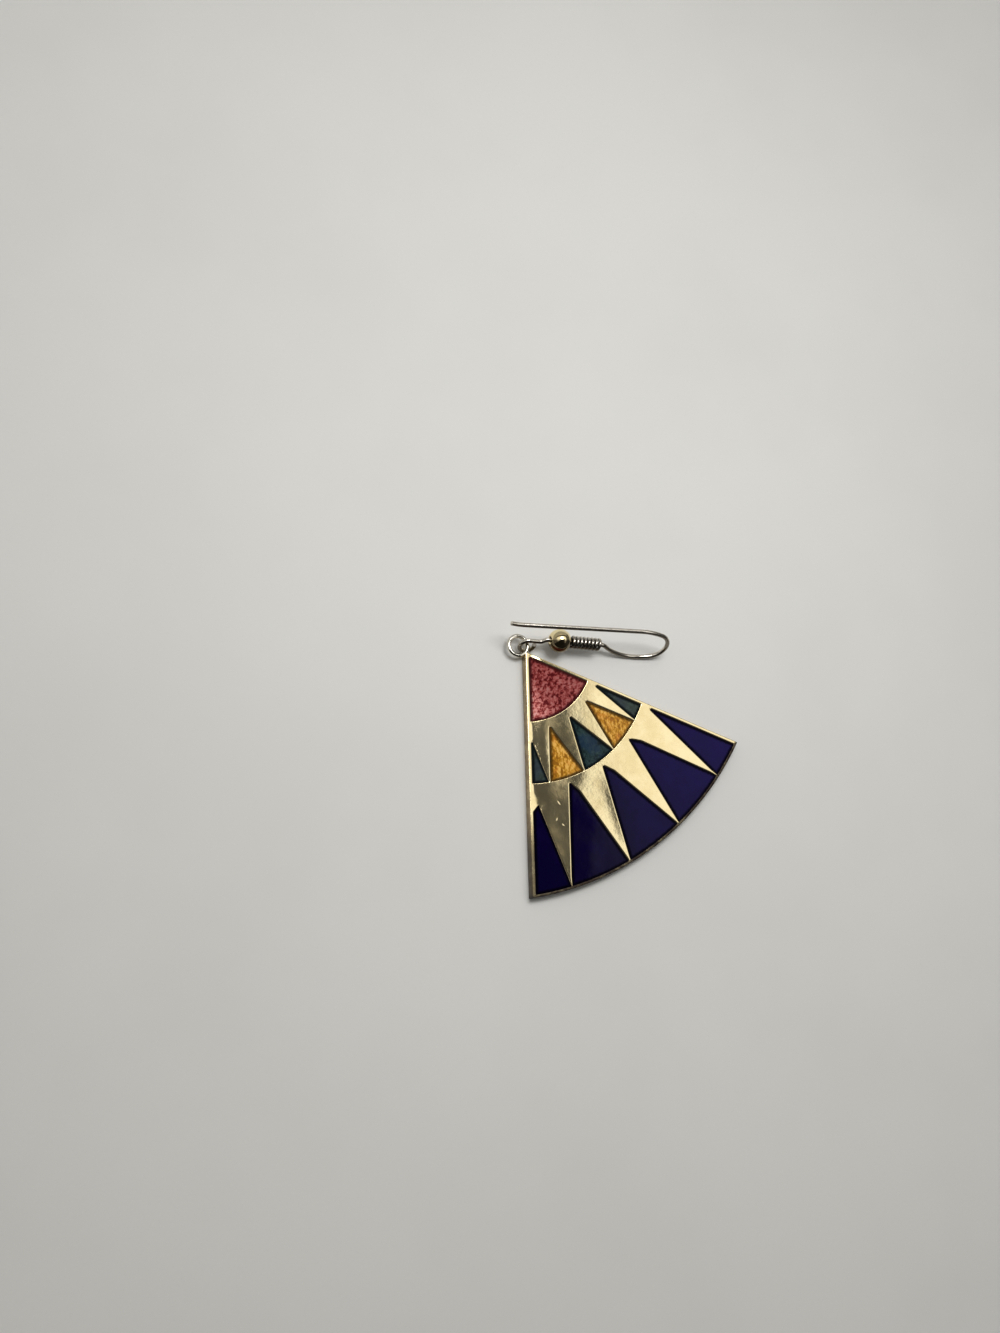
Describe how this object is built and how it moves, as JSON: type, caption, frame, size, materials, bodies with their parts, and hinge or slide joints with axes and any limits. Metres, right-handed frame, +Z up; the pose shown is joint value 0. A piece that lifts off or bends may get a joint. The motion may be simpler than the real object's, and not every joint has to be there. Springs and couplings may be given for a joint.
{
  "type": "fan earring",
  "caption": "Drop earring: a flat gilt fan with sunburst cells of red, amber, teal and blue enamel, hung by a soldered ring from a bent ear wire with a bead and a coil.",
  "frame": {"origin": "on the fan's flat back face, on its middle line, 17 mm from its point", "axes": "+Z up out of the fan's enamelled front, +Y along the middle line toward the fan's point and ring, +X across the fan toward the side where the ear wire lies"},
  "size_m": [0.0374, 0.0348, 0.0053],
  "materials": {
    "gilt_metal": "polished gilding, lightly worn",
    "red_enamel": "glossy vitreous enamel",
    "teal_enamel": "glossy vitreous enamel",
    "amber_enamel": "glossy vitreous enamel",
    "blue_enamel": "glossy vitreous enamel",
    "steel_wire": "drawn wire, softly polished"
  },
  "bodies": {
    "root": {"fan_plate": "gilt_metal", "red_enamel": "red_enamel", "teal_enamel_1": "teal_enamel", "teal_enamel_2": "teal_enamel", "teal_enamel_3": "teal_enamel", "amber_enamel_1": "amber_enamel", "amber_enamel_2": "amber_enamel", "blue_enamel_1": "blue_enamel", "blue_enamel_2": "blue_enamel", "blue_enamel_3": "blue_enamel", "blue_enamel_4": "blue_enamel", "blue_enamel_5": "blue_enamel", "ear_hook": "steel_wire", "hook_bead": "gilt_metal", "hook_coil": "steel_wire"}
  },
  "joints": []
}
